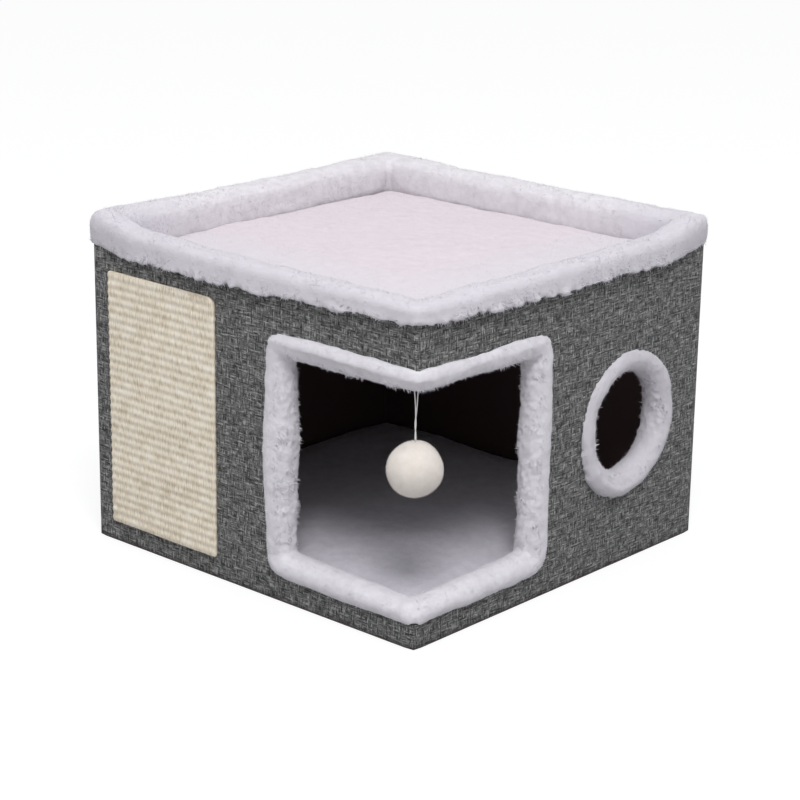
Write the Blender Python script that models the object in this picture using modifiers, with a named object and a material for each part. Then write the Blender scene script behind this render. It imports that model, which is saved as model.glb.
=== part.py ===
"""A cat cave with padded fabric walls, a corner entrance, a round window and a sunken bed on top.

Metres, +Z up. The origin is on the floor, under the middle of the cave. The front wall faces -Y and
carries the scratching panel, the right wall faces +X and has the round window, and the entrance
takes away the corner between the two. Each wall is a sandwich of linen, board, foam and lining.
"""

import math

import bmesh
import bpy
from mathutils import Matrix, Vector

# Overall form
SIDE = 0.420
WALL_HEIGHT = 0.304
CORNER_RADIUS = 0.004
CREASE_RADIUS = 0.0005
PLUSH_ROUNDING = 0.7
CLEAR = 0.0003

# Layers of a wall, from the outside in
LINEN = 0.001
BOARD = 0.005
WALL_FOAM = 0.0102
LINING = 0.0009
BOARD_CORNER_GAP = 0.0025

# Floor of the cave
BASE_CLOTH = 0.001
BASE_BOARD = 0.005
BASE_BOARD_PLAY = 0.0005

# Stuffed plush roll round the entrance and the window
ROLL_WIDTH = 0.027
ROLL_DEPTH = 0.030
ROLL_EDGE_BITE = 0.004
ROLL_LIP = 0.0005
ROLL_CORNER_RADIUS = 0.0015
ROLL_CORNER_FULLNESS = 0.3
ROLL_ROUNDING = 1.6
ROLL_FOLD_RADIUS = 0.014

# Corner entrance, on the middle line of its roll
ENTRANCE_REACH = 0.1735
ENTRANCE_LOW = 0.0335
ENTRANCE_HEADER = 0.0555
HEADER_FOLD_SHARE = 0.74
SILL_FOLD_SHARE = 0.60

# Round window in the right wall, on the middle line of its roll
WINDOW_RING = 0.1245
WINDOW_FROM_FRONT = 0.3035
WINDOW_HEIGHT = 0.142

# Plush rim on top of the walls
RIM_HEIGHT = 0.025
RIM_OVERHANG = 0.006
RIM_INSIDE = 0.007
RIM_SKIRT_OUTSIDE = 0.0075
RIM_SKIRT_INSIDE = 0.018
RIM_SHOULDER = 0.003
RIM_DIP = 0.015
RIM_DIP_LENGTH = 0.050
RIM_BACK_DROP = 0.003

# Strips on the inner walls that carry the bed
LEDGE_GAP = 0.0008
LEDGE_HEIGHT = 0.0097
LEDGE_WIDTH = 0.0137
LEDGE_END_GAP = 0.003

# Sunken bed
BED_PLAY = 0.0006
CEILING_CLOTH = 0.0008
BED_BOARD = 0.0045
BED_PAD = 0.0135
BED_COVER = 0.003
BED_CROWN = 0.007
BED_DRAW_IN = 0.0015

# Loose mat on the cave's floor
MAT_PLAY = 0.0006
MAT_CLOTH = 0.0008
MAT_PAD = 0.0253
MAT_COVER = 0.003
MAT_CROWN = 0.006
MAT_DRAW_IN = 0.003

# Woven sisal scratching panel on the front wall
SISAL_WIDTH = 0.1455
SISAL_HEIGHT = 0.254
SISAL_FROM_CORNER = 0.2495
SISAL_BASE = 0.0215
SISAL_BACKING = 0.0022
SISAL_RIB = 0.0016
SISAL_RIB_PITCH = 0.0083
SISAL_ROUND_CORNER = 0.009
SISAL_SQUARE_CORNER = 0.003

# Hanging toy
POMPOM_DIAMETER = 0.052
POMPOM_DROP = 0.0755
TOY_FROM_FACE = 0.0165
KNOT_DIAMETER = 0.004
KNOT_PLAY = 0.0006
KNOT_STANDOUT = 0.0012
STRING_DIAMETER = 0.0018
STRING_WANDER = 0.0006
STRING_SPAN = 0.0045

# Facets
ARC_STEPS = 14
PLATE_CORNER_STEPS = 5
WINDOW_STEPS = 40
WINDOW_CUT_SIDES = 48
FOLD_STEPS = 6
CORNER_STEPS = 4
SKIRT_STEPS = 3
RIM_SQUARENESS = 0.7
RIM_CORNER_STEPS = 3
RIM_SPANS = 10
CUSHION_CELLS = 14
CUSHION_SQUARENESS = 3
CUSHION_FULLNESS = 0.6
RIB_STEPS = 6
SISAL_CORNER_STEPS = 6
KNOT_SIDES = 12
POMPOM_SIDES = 24

HALF = SIDE / 2
BOARD_OUTER = LINEN + CLEAR
BOARD_INNER = BOARD_OUTER + BOARD
FOAM_OUTER = BOARD_INNER + CLEAR
FOAM_INNER = FOAM_OUTER + WALL_FOAM
LINING_OUTER = FOAM_INNER + CLEAR
WALL_THICKNESS = LINING_OUTER + LINING
WALL_MIDDLE = WALL_THICKNESS / 2

FLOOR_LEVEL = BASE_CLOTH + CLEAR
BASE_BOARD_TOP = FLOOR_LEVEL + BASE_BOARD
ENTRANCE_HIGH = WALL_HEIGHT - ENTRANCE_HEADER
ROLL_TOP = ENTRANCE_HIGH + ROLL_WIDTH / 2
ROLL_INSIDE = WALL_MIDDLE + ROLL_DEPTH / 2

RIM_INNER_DEPTH = WALL_THICKNESS + RIM_INSIDE
RIM_TOP = WALL_HEIGHT + RIM_HEIGHT

WINDOW_FURTHEST = SIDE - WALL_THICKNESS - (WINDOW_RING + ROLL_WIDTH) / 2 - CLEAR
WINDOW_MIDDLE = min(WINDOW_FROM_FRONT, WINDOW_FURTHEST)
SISAL_TOP = min(SISAL_BASE + SISAL_HEIGHT, WALL_HEIGHT - RIM_SKIRT_OUTSIDE - RIM_OVERHANG)

LEDGE_BASE = ROLL_TOP + LEDGE_GAP
LEDGE_TOP = LEDGE_BASE + LEDGE_HEIGHT
BED_HALF = HALF - RIM_INNER_DEPTH - BED_PLAY
CEILING_LOW = LEDGE_TOP + CLEAR
BED_BOARD_LOW = CEILING_LOW + CEILING_CLOTH + CLEAR
BED_PAD_LOW = BED_BOARD_LOW + BED_BOARD + CLEAR

MAT_HALF = HALF - max(WALL_THICKNESS, ROLL_INSIDE) - MAT_PLAY
MAT_LOW = BASE_BOARD_TOP + CLEAR
MAT_PAD_LOW = MAT_LOW + MAT_CLOTH + CLEAR

QUARTER_TURNS = {"front": 0, "right": 1, "back": 2, "left": 3}


def new_collection(name):
    """A collection in the scene."""
    collection = bpy.data.collections.new(name)
    bpy.context.scene.collection.children.link(collection)
    return collection


def finish(obj, colour, roughness):
    """Gives the object a plain material of its own."""
    material = bpy.data.materials.new(obj.name + "_finish")
    material.use_nodes = True
    shader = material.node_tree.nodes["Principled BSDF"]
    shader.inputs["Base Color"].default_value = (*colour, 1.0)
    shader.inputs["Roughness"].default_value = roughness
    shader.inputs["Metallic"].default_value = 0.0
    obj.data.materials.clear()
    obj.data.materials.append(material)
    return obj


def linen_finish(obj):
    return finish(obj, (0.12, 0.12, 0.12), 0.95)


def lining_finish(obj):
    return finish(obj, (0.012, 0.010, 0.011), 0.9)


def plush_finish(obj):
    return finish(obj, (0.66, 0.63, 0.68), 0.95)


def fibreboard_finish(obj):
    return finish(obj, (0.34, 0.22, 0.12), 0.8)


def foam_finish(obj):
    return finish(obj, (0.80, 0.78, 0.70), 0.95)


def sisal_finish(obj):
    return finish(obj, (0.62, 0.55, 0.43), 0.9)


def string_finish(obj):
    return finish(obj, (0.75, 0.74, 0.72), 0.85)


def pompom_finish(obj):
    return finish(obj, (0.80, 0.74, 0.66), 0.95)


def add_object(name, bm, collection, quarter_turns=0):
    """Makes an object of the bmesh, turned about the cave's upright axis."""
    bmesh.ops.recalc_face_normals(bm, faces=bm.faces[:])
    mesh = bpy.data.meshes.new(name)
    bm.to_mesh(mesh)
    bm.free()
    obj = bpy.data.objects.new(name, mesh)
    obj.rotation_euler.z = quarter_turns * math.pi / 2
    collection.objects.link(obj)
    return obj


def hide_cutter(obj):
    obj.hide_render = True
    obj.display_type = "WIRE"
    return obj


def cut(obj, cutter, operation="DIFFERENCE"):
    """Adds an exact Boolean with the cutter."""
    modifier = obj.modifiers.new(cutter.name, "BOOLEAN")
    modifier.operation = operation
    modifier.object = cutter
    modifier.solver = "EXACT"


def smooth(obj, angle=math.radians(40)):
    obj.data.shade_smooth()
    obj.data.set_sharp_from_angle(angle=angle)
    return obj


def add_empty(name, collection, location):
    """A marker on a joint's axis, which its moving pieces hang from."""
    empty = bpy.data.objects.new(name, None)
    empty.empty_display_size = 0.02
    empty.location = location
    collection.objects.link(empty)
    return empty


def hang_from(obj, empty):
    """Moves the object's origin to the empty and parents it there, without moving its shape."""
    obj.data.transform(Matrix.Translation(-empty.location))
    obj.parent = empty
    return obj


def box_between(low, high):
    """A cube primitive stretched between two corners."""
    bm = bmesh.new()
    middle = [(a + b) / 2 for a, b in zip(low, high)]
    size = [b - a for a, b in zip(low, high)]
    placed = Matrix.Translation(middle) @ Matrix.Diagonal((*size, 1.0))
    bmesh.ops.create_cube(bm, size=1.0, matrix=placed)
    return bm


def cylinder(radius, depth, sides, placed):
    """A round bar along Z, before it's placed."""
    bm = bmesh.new()
    size = {"radius1": radius, "radius2": radius, "depth": depth}
    bmesh.ops.create_cone(bm, cap_ends=True, segments=sides, matrix=placed, **size)
    return bm


def ball(diameter, sides, centre):
    """A sphere with its poles up and down."""
    bm = bmesh.new()
    facets = {"u_segments": sides, "v_segments": sides // 2 + 2}
    bmesh.ops.create_uvsphere(bm, radius=diameter / 2, matrix=Matrix.Translation(centre), **facets)
    return bm


def rounded_square(half, radius, steps=PLATE_CORNER_STEPS):
    """Points round a square with rounded corners, counter-clockwise."""
    points = []
    inset = half - radius
    for corner, (sx, sy) in enumerate(((1, 1), (-1, 1), (-1, -1), (1, -1))):
        for step in range(steps + 1):
            angle = (corner + step / steps) * math.pi / 2
            x = sx * inset + radius * math.cos(angle)
            y = sy * inset + radius * math.sin(angle)
            points.append((x, y))
    return points


def plate(half, radius, low, high):
    """A flat square plate with rounded corners."""
    bm = bmesh.new()
    rim = [bm.verts.new((x, y, low)) for x, y in rounded_square(half, radius)]
    face = bm.faces.new(rim)
    grown = bmesh.ops.extrude_face_region(bm, geom=[face])
    lifted = [item for item in grown["geom"] if isinstance(item, bmesh.types.BMVert)]
    bmesh.ops.translate(bm, verts=lifted, vec=(0, 0, high - low))
    return bm


def corner_radius(depth, rounding=PLUSH_ROUNDING):
    """Radius of the cave's upright corners, this deep inside the linen's face.

    Layers follow each other round the corner, down to a crease. Plush that stands proud is rounder.
    """
    proud = max(0, -depth - CLEAR)
    return max(CREASE_RADIUS, CORNER_RADIUS - depth) + rounding * proud


def round_corner(depth, angle, radius, along_sign=1):
    """A point at this depth on the front wall's end, turned this far round the cave's corner."""
    centre = HALF - depth - radius
    return along_sign * (centre + radius * math.sin(angle)), -centre - radius * math.cos(angle)


def fabric_band(name, depth, thickness, collection):
    """An upright band of cloth round the four walls."""
    bm = bmesh.new()
    loops = []
    for inset in (depth, depth + thickness):
        outline = rounded_square(HALF - inset, corner_radius(inset))
        for z in (FLOOR_LEVEL, WALL_HEIGHT):
            loops.append([bm.verts.new((x, y, z)) for x, y in outline])
    outer_low, outer_high, inner_low, inner_high = loops
    around = [outer_low, outer_high, inner_high, inner_low]
    count = len(outer_low)
    for near, far in zip(around, around[1:] + around[:1]):
        for i in range(count):
            j = (i + 1) % count
            bm.faces.new((near[i], near[j], far[j], far[i]))
    return smooth(add_object(name, bm, collection), math.radians(50))


def mitred_slab(outer_depth, inner_depth, low, high, end_gap):
    """A slab of the front wall between two depths, cut at 45 degrees where it meets its neighbours."""
    bm = box_between((-HALF, -HALF + outer_depth, low), (HALF, -HALF + inner_depth, high))
    middle = -HALF + (outer_depth + inner_depth) / 2
    for vert in bm.verts:
        depth = outer_depth if vert.co.y < middle else inner_depth
        vert.co.x = math.copysign(HALF - depth - end_gap, vert.co.x)
    return bm


def sweep(rings, closed):
    """Joins rings of points, each with the same count, into one solid."""
    bm = bmesh.new()
    rows = [[bm.verts.new(point) for point in ring] for ring in rings]
    count = len(rows[0])
    spans = len(rows) if closed else len(rows) - 1
    for i in range(spans):
        near, far = rows[i], rows[(i + 1) % len(rows)]
        for j in range(count):
            k = (j + 1) % count
            bm.faces.new((near[j], near[k], far[k], far[j]))
    if not closed:
        bm.faces.new(rows[0])
        bm.faces.new(rows[-1][::-1])
    return bm


def roll_profile():
    """The roll's section: an ellipse that grips the wall's edge in a slot.

    The first number runs from the opening into the wall, the second out of the wall's middle.
    """
    half_width, half_depth = ROLL_WIDTH / 2, ROLL_DEPTH / 2
    slot = WALL_MIDDLE + CLEAR
    start = math.asin((slot + ROLL_LIP) / half_depth)
    points = []
    for step in range(ARC_STEPS + 1):
        angle = start + (2 * math.pi - 2 * start) * step / ARC_STEPS
        points.append((half_width * math.cos(angle), half_depth * math.sin(angle)))
    lip = half_width * math.cos(start)
    bottom = ROLL_EDGE_BITE - CLEAR
    return points + [(lip, -slot), (bottom, -slot), (bottom, slot), (lip, slot)]


def corner_stretch(angle):
    """How much further out the roll reaches at this angle into a turn of a quarter circle."""
    into = min(angle, math.pi / 2 - angle)
    return (1 / math.cos(into)) ** ROLL_CORNER_FULLNESS


def on_wall(along, depth, z):
    """A point at this distance from the entrance corner: front wall below zero, right wall above."""
    if along < 0:
        return Vector((HALF + along, -HALF + depth, z))
    return Vector((HALF - depth, -HALF + along, z))


def fold_ring(profile, angle, height, upward, share):
    """The roll's section, turned this far round the cave's upright corner edge.

    There the roll is pulled tight: its free side, in the opening, is slimmer and rounder.
    """
    ring = []
    for into_wall, out in profile:
        free = max(0, -into_wall) / (ROLL_WIDTH / 2)
        depth = WALL_MIDDLE - out
        radius = corner_radius(depth, ROLL_ROUNDING) + ROLL_FOLD_RADIUS * free
        x, y = round_corner(depth, angle, radius)
        reach = into_wall * share if into_wall < 0 else into_wall
        ring.append(Vector((x, y, height + upward * reach)))
    return ring


def header_fold(angle):
    return fold_ring(roll_profile(), angle, ENTRANCE_HIGH, 1, HEADER_FOLD_SHARE)


def sill_fold(angle):
    return fold_ring(roll_profile(), angle, ENTRANCE_LOW, -1, SILL_FOLD_SHARE)


def turn_rings(profile, side, high, first_angle):
    """Sections of the roll where it turns between level and upright on one wall."""
    inner_edge = ROLL_WIDTH / 2 + ROLL_CORNER_RADIUS
    centre_along = side * (ENTRANCE_REACH - inner_edge)
    centre_z = ENTRANCE_HIGH - inner_edge if high else ENTRANCE_LOW + inner_edge
    rings = []
    for step in range(CORNER_STEPS + 1):
        turn = math.pi / 2 * step / CORNER_STEPS
        angle = first_angle + turn
        stretch = corner_stretch(turn)
        ring = []
        for into_wall, out in profile:
            reach = (into_wall + inner_edge) * stretch
            along = centre_along + reach * math.cos(angle)
            z = centre_z + reach * math.sin(angle)
            ring.append(on_wall(along, WALL_MIDDLE - out, z))
        rings.append(ring)
    return rings


def make_entrance_trim(collection, cutters):
    """One closed roll: along the sill, round the corner edge, up, and back over the top."""
    profile = roll_profile()
    angles = [math.pi / 2 * step / FOLD_STEPS for step in range(FOLD_STEPS + 1)]
    rings = [sill_fold(angle) for angle in angles]
    rings += turn_rings(profile, 1, False, -math.pi / 2)
    rings += turn_rings(profile, 1, True, 0)
    rings += [header_fold(angle) for angle in angles[::-1]]
    rings += turn_rings(profile, -1, True, math.pi / 2)
    rings += turn_rings(profile, -1, False, math.pi)
    trim = add_object("entrance_trim", sweep(rings, True), collection)
    cut(trim, make_knot_socket(cutters))
    return plush_finish(smooth(trim))


def make_window_trim(collection):
    """The same roll turned round the window's axis."""
    bm = bmesh.new()
    verts = [bm.verts.new((WINDOW_RING / 2 + u, 0, v)) for u, v in roll_profile()]
    for i, vert in enumerate(verts):
        bm.edges.new((vert, verts[(i + 1) % len(verts)]))
    mesh = bpy.data.meshes.new("window_trim")
    bm.to_mesh(mesh)
    bm.free()
    trim = bpy.data.objects.new("window_trim", mesh)
    trim.location = (HALF - WALL_MIDDLE, -HALF + WINDOW_MIDDLE, WINDOW_HEIGHT)
    trim.rotation_euler.y = math.pi / 2
    collection.objects.link(trim)
    screw = trim.modifiers.new("Turn", "SCREW")
    screw.angle = 2 * math.pi
    screw.steps = WINDOW_STEPS
    screw.render_steps = WINDOW_STEPS
    screw.use_merge_vertices = True
    screw.merge_threshold = 0.00005
    screw.use_normal_calculate = True
    return plush_finish(smooth(trim))


def make_opening_cutters(cutters):
    """The holes that the entrance and the window leave in every layer of the walls."""
    edge = ENTRANCE_REACH + ROLL_EDGE_BITE
    low = ENTRANCE_LOW - ROLL_EDGE_BITE
    high = ENTRANCE_HIGH + ROLL_EDGE_BITE
    past = WALL_THICKNESS * 2
    bm = box_between((HALF - edge, -HALF - past, low), (HALF + past, -HALF + past, high))
    front = hide_cutter(add_object("entrance_cut_front", bm, cutters))
    bm = box_between((HALF - past, -HALF - past, low), (HALF + past, -HALF + edge, high))
    right = hide_cutter(add_object("entrance_cut_right", bm, cutters))
    radius = WINDOW_RING / 2 + ROLL_EDGE_BITE
    place = Matrix.Translation((HALF, -HALF + WINDOW_MIDDLE, WINDOW_HEIGHT))
    lying = Matrix.Rotation(math.pi / 2, 4, "Y")
    bm = cylinder(radius, 2 * past, WINDOW_CUT_SIDES, place @ lying)
    window = hide_cutter(add_object("window_cut", bm, cutters))
    return front, right, window


def open_wall(obj, wall, openings):
    """Cuts the entrance and the window from a layer of this wall, or of all four."""
    front, right, window = openings
    if wall in ("front", "all"):
        cut(obj, front)
    if wall in ("right", "all"):
        cut(obj, right)
        cut(obj, window)
    return obj


def make_walls(collection, openings):
    """Board and foam of each wall, with the linen outside and the lining inside."""
    for wall, turns in QUARTER_TURNS.items():
        bm = mitred_slab(BOARD_OUTER, BOARD_INNER, FLOOR_LEVEL, WALL_HEIGHT, BOARD_CORNER_GAP)
        board = add_object(wall + "_wall_board", bm, collection, turns)
        fibreboard_finish(open_wall(board, wall, openings))
        bm = mitred_slab(FOAM_OUTER, FOAM_INNER, FLOOR_LEVEL, WALL_HEIGHT, CLEAR)
        foam = add_object(wall + "_wall_foam", bm, collection, turns)
        foam_finish(open_wall(foam, wall, openings))
    linen = fabric_band("linen_cover", 0, LINEN, collection)
    linen_finish(open_wall(linen, "all", openings))
    lining = fabric_band("wall_lining", LINING_OUTER, LINING, collection)
    lining_finish(open_wall(lining, "all", openings))


def make_base(collection):
    """The cloth that stands on the floor, and the board that stiffens the cave's floor."""
    cloth = add_object("base_cloth", plate(HALF, CORNER_RADIUS, 0, BASE_CLOTH), collection)
    lining_finish(cloth)
    half = HALF - WALL_THICKNESS - BASE_BOARD_PLAY
    bm = plate(half, CORNER_RADIUS, FLOOR_LEVEL, BASE_BOARD_TOP)
    fibreboard_finish(add_object("base_board", bm, collection))


def rim_section(crest):
    """The rim's section over the front wall, as depth from the linen's face and height."""
    outer, inner = -RIM_OVERHANG, RIM_INNER_DEPTH
    middle, half_width = (outer + inner) / 2, (inner - outer) / 2
    shoulder = WALL_HEIGHT + RIM_SHOULDER
    outside_low = WALL_HEIGHT - RIM_SKIRT_OUTSIDE
    inside_low = WALL_HEIGHT - RIM_SKIRT_INSIDE
    points = []
    for step in range(SKIRT_STEPS):
        angle = math.pi / 2 * step / SKIRT_STEPS
        depth = -CLEAR + (outer + CLEAR) * math.sin(angle)
        points.append((depth, outside_low + (shoulder - outside_low) * (1 - math.cos(angle))))
    for step in range(ARC_STEPS + 1):
        angle = math.pi * step / ARC_STEPS
        across = math.copysign(abs(math.cos(angle)) ** RIM_SQUARENESS, math.cos(angle))
        rise = max(0, math.sin(angle)) ** RIM_SQUARENESS
        points.append((middle - half_width * across, shoulder + (crest - shoulder) * rise))
    lining_face = WALL_THICKNESS + CLEAR
    seat = WALL_HEIGHT + CLEAR
    roundness = inner - lining_face
    points.append((inner, inside_low + roundness / 2))
    points += [(lining_face + roundness / 2, inside_low), (lining_face, inside_low)]
    return points + [(lining_face, seat), (-CLEAR, seat)]


def rim_crest(wall, along, dip_from):
    """Height of the rim's crest: lower toward the back, and sunk along the walls that dip."""
    behind = {"front": 0, "right": HALF + along, "back": SIDE, "left": HALF - along}[wall] / SIDE
    crest = RIM_TOP - RIM_BACK_DROP * behind
    if dip_from == 0:
        return crest
    from_corner = max(HALF - dip_from * along, 0)
    return crest - RIM_DIP * (1 - math.exp(-from_corner / RIM_DIP_LENGTH))


def make_rim(wall, dip_from, collection):
    """A plush roll on top of one wall, mitred at both ends. dip_from is the end it sinks from."""
    mitre_gap = CLEAR / math.sqrt(2)

    def ring(along, end=0, angle=0):
        points = []
        for depth, z in rim_section(rim_crest(wall, along, dip_from)):
            x, y = along, -HALF + depth
            if end != 0:
                x, y = round_corner(depth, angle, corner_radius(depth), end)
            points.append(Vector((x - end * mitre_gap, y, z)))
        return points

    turns = [math.pi / 4 * step / RIM_CORNER_STEPS for step in range(RIM_CORNER_STEPS + 1)]
    straight = HALF - corner_radius(-RIM_OVERHANG)
    rings = [ring(-HALF, -1, angle) for angle in turns[::-1]]
    for step in range(1, RIM_SPANS):
        rings.append(ring(straight * (2 * step / RIM_SPANS - 1)))
    rings += [ring(HALF, 1, angle) for angle in turns]
    rim = add_object(wall + "_rim", sweep(rings, False), collection, QUARTER_TURNS[wall])
    return plush_finish(smooth(rim))


def make_ledge(wall, long, collection):
    """A strip along the inside of one wall, under the bed. Two long strips butt against two short."""
    face = HALF - WALL_THICKNESS - CLEAR
    reach = face - LEDGE_END_GAP if long else face - LEDGE_WIDTH - CLEAR
    bm = box_between((-reach, -face, LEDGE_BASE), (reach, -face + LEDGE_WIDTH, LEDGE_TOP))
    return lining_finish(add_object(wall + "_ledge", bm, collection, QUARTER_TURNS[wall]))


def cushion(half, low, edge, crown, draw_in):
    """A square cushion: flat below, crowned above, with sides that pull in between its corners."""
    bm = bmesh.new()
    cells = CUSHION_CELLS

    def spread(i):
        return math.sin(math.pi / 2 * (2 * i / cells - 1))

    def pulled(u, v):
        return half * u * (1 - draw_in / half * (1 - v * v) * abs(u))

    def dome(u, v):
        across = 1 - abs(u) ** CUSHION_SQUARENESS
        deep = 1 - abs(v) ** CUSHION_SQUARENESS
        return (across * deep) ** CUSHION_FULLNESS

    rows = []
    for j in range(cells + 1):
        row = []
        for i in range(cells + 1):
            u, v = spread(i), spread(j)
            row.append(bm.verts.new((pulled(u, v), pulled(v, u), edge + crown * dome(u, v))))
        rows.append(row)
    for j in range(cells):
        for i in range(cells):
            bm.faces.new((rows[j][i], rows[j][i + 1], rows[j + 1][i + 1], rows[j + 1][i]))
    border = rows[0][:-1] + [row[-1] for row in rows[:-1]]
    border += rows[-1][:0:-1] + [row[0] for row in rows[:0:-1]]
    feet = [bm.verts.new((vert.co.x, vert.co.y, low)) for vert in border]
    for i, vert in enumerate(border):
        k = (i + 1) % len(border)
        bm.faces.new((vert, border[k], feet[k], feet[i]))
    bm.faces.new(feet)
    return bm


def make_padding(prefix, half, low, thickness, cover, crown, draw_in, collection, cutters):
    """A foam slab and the plush cover that drops over it, open underneath."""
    top = low + thickness
    skin = add_object(prefix + "_cover", cushion(half, low, top, crown, draw_in), collection)
    hollow = cushion(half - cover, low - cover, top - cover, crown, draw_in)
    cut(skin, hide_cutter(add_object(prefix + "_hollow", hollow, cutters)))
    inside = cover + CLEAR
    block = cushion(half - inside, low, top - inside, crown, draw_in)
    foam = add_object(prefix + "_foam", block, collection)
    return plush_finish(smooth(skin)), foam_finish(smooth(foam))


def make_bed(collection, cutters):
    """The bed drops in between the rims and rests on the ledges."""
    lift = add_empty("bed_lift_axis", collection, Vector((0, 0, LEDGE_TOP)))
    bm = plate(BED_HALF, CORNER_RADIUS, CEILING_LOW, CEILING_LOW + CEILING_CLOTH)
    ceiling = lining_finish(add_object("ceiling_cloth", bm, collection))
    bm = plate(BED_HALF, CORNER_RADIUS, BED_BOARD_LOW, BED_BOARD_LOW + BED_BOARD)
    board = fibreboard_finish(add_object("bed_board", bm, collection))
    cover, foam = make_padding(
        "bed", BED_HALF, BED_PAD_LOW, BED_PAD, BED_COVER, BED_CROWN, BED_DRAW_IN, collection, cutters
    )
    for obj in (ceiling, board, cover, foam, bpy.data.objects["bed_hollow"]):
        hang_from(obj, lift)


def make_mat(collection, cutters):
    """The loose mat lies on the base board."""
    lift = add_empty("mat_lift_axis", collection, Vector((0, 0, BASE_BOARD_TOP)))
    bm = plate(MAT_HALF - MAT_DRAW_IN, CORNER_RADIUS, MAT_LOW, MAT_LOW + MAT_CLOTH)
    under = lining_finish(add_object("mat_underside", bm, collection))
    cover, foam = make_padding(
        "mat", MAT_HALF, MAT_PAD_LOW, MAT_PAD, MAT_COVER, MAT_CROWN, MAT_DRAW_IN, collection, cutters
    )
    for obj in (under, cover, foam, bpy.data.objects["mat_hollow"]):
        hang_from(obj, lift)


def sisal_section():
    """The panel's side view: level ribs in front, flat behind."""
    back = -HALF - CLEAR
    ribs = round((SISAL_TOP - SISAL_BASE) / SISAL_RIB_PITCH)
    count = ribs * RIB_STEPS
    face = []
    for i in range(count + 1):
        z = SISAL_BASE + (SISAL_TOP - SISAL_BASE) * i / count
        swell = math.sin(math.pi * i / RIB_STEPS) ** 2
        face.append((back - SISAL_BACKING - SISAL_RIB * swell, z))
    return face + [(back, SISAL_TOP), (back, SISAL_BASE)]


def sisal_outline(left, right):
    """A block with the panel's front view: one round corner, next to the rim and the entrance."""
    reach = 2 * (SISAL_BACKING + SISAL_RIB)
    bm = box_between((left, -HALF - reach, SISAL_BASE), (right, -HALF + reach, SISAL_TOP))
    sharp, soft = [], []
    for edge in bm.edges:
        one, other = (vert.co for vert in edge.verts)
        if abs(one.y - other.y) < reach:
            continue
        by_entrance = one.x > (left + right) / 2 and one.z > (SISAL_BASE + SISAL_TOP) / 2
        (soft if by_entrance else sharp).append(edge)
    for edges, radius in ((soft, SISAL_ROUND_CORNER), (sharp, SISAL_SQUARE_CORNER)):
        bmesh.ops.bevel(
            bm, geom=edges, offset=radius, segments=SISAL_CORNER_STEPS, profile=0.5, affect="EDGES"
        )
    return bm


def make_sisal(collection, cutters):
    """The scratching panel: level ribs on a backing, cut to a rounded rectangle."""
    right = HALF - SISAL_FROM_CORNER
    left = right - SISAL_WIDTH
    rings = [[Vector((x, y, z)) for y, z in sisal_section()] for x in (left, right)]
    panel = add_object("sisal_panel", sweep(rings, False), collection)
    outline = add_object("sisal_outline", sisal_outline(left, right), cutters)
    cut(panel, hide_cutter(outline), "INTERSECT")
    return sisal_finish(panel)


def toy_pivot():
    """Middle of the knot that the toy swings on, just below the roll over the entrance corner."""
    along = HALF - TOY_FROM_FACE
    section = header_fold(math.pi / 4)
    heights = []
    for near, far in zip(section, section[1:]):
        if min(near.x, far.x) <= along < max(near.x, far.x):
            share = (along - near.x) / (far.x - near.x)
            heights.append(near.z + share * (far.z - near.z))
    return Vector((along, -along, min(heights) - KNOT_STANDOUT))


def make_knot_socket(cutters):
    """The hole in the roll's underside that the knot sits in."""
    pivot = toy_pivot()
    radius = KNOT_DIAMETER / 2 + KNOT_PLAY
    depth = 2 * KNOT_DIAMETER
    place = Matrix.Translation(pivot + Vector((0, 0, radius - depth / 2)))
    bm = cylinder(radius, depth, KNOT_SIDES, place)
    return hide_cutter(add_object("knot_socket", bm, cutters))


def make_string(swing, collection):
    """The string from the knot down to the pompom."""
    first = KNOT_DIAMETER / 2 + CLEAR
    last = POMPOM_DROP - POMPOM_DIAMETER / 2 - CLEAR
    count = round((last - first) / STRING_SPAN)
    curve = bpy.data.curves.new("toy_string", "CURVE")
    curve.dimensions = "3D"
    curve.bevel_depth = STRING_DIAMETER / 2
    curve.bevel_resolution = 2
    curve.use_fill_caps = True
    spline = curve.splines.new("POLY")
    spline.points.add(count)
    for i, point in enumerate(spline.points):
        t = i / count
        aside = STRING_WANDER * math.sin(2 * math.pi * t) * math.sin(math.pi * t)
        point.co = (aside, aside, -first - (last - first) * t, 1)
    string = bpy.data.objects.new("toy_string", curve)
    string.parent = swing
    collection.objects.link(string)
    return string_finish(string)


def make_toy(collection):
    """A pompom on a string, free to swing about the knot."""
    pivot = toy_pivot()
    swing = add_empty("toy_pivot", collection, pivot)
    knot = add_object("toy_knot", ball(KNOT_DIAMETER, KNOT_SIDES, pivot), collection)
    hang_from(string_finish(smooth(knot)), swing)
    centre = pivot - Vector((0, 0, POMPOM_DROP))
    pompom = add_object("pompom", ball(POMPOM_DIAMETER, POMPOM_SIDES, centre), collection)
    hang_from(pompom_finish(smooth(pompom)), swing)
    make_string(swing, collection)


def main():
    for obj in list(bpy.data.objects):
        bpy.data.objects.remove(obj, do_unlink=True)
    parts = new_collection("cat_cave_bed")
    cutters = new_collection("cutters")
    openings = make_opening_cutters(cutters)
    make_base(parts)
    make_walls(parts, openings)
    make_entrance_trim(parts, cutters)
    make_window_trim(parts)
    for wall, dip_from in (("front", -1), ("right", 1), ("back", 0), ("left", 0)):
        make_rim(wall, dip_from, parts)
    for wall in QUARTER_TURNS:
        make_ledge(wall, wall in ("front", "back"), parts)
    make_sisal(parts, cutters)
    make_bed(parts, cutters)
    make_mat(parts, cutters)
    make_toy(parts)


main()
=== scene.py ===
"""Looks of the cat cave bed: plush, linen, sisal and a studio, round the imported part."""

import math

import bmesh
import bpy
import numpy as np
from mathutils import Matrix, Vector, noise


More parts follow.
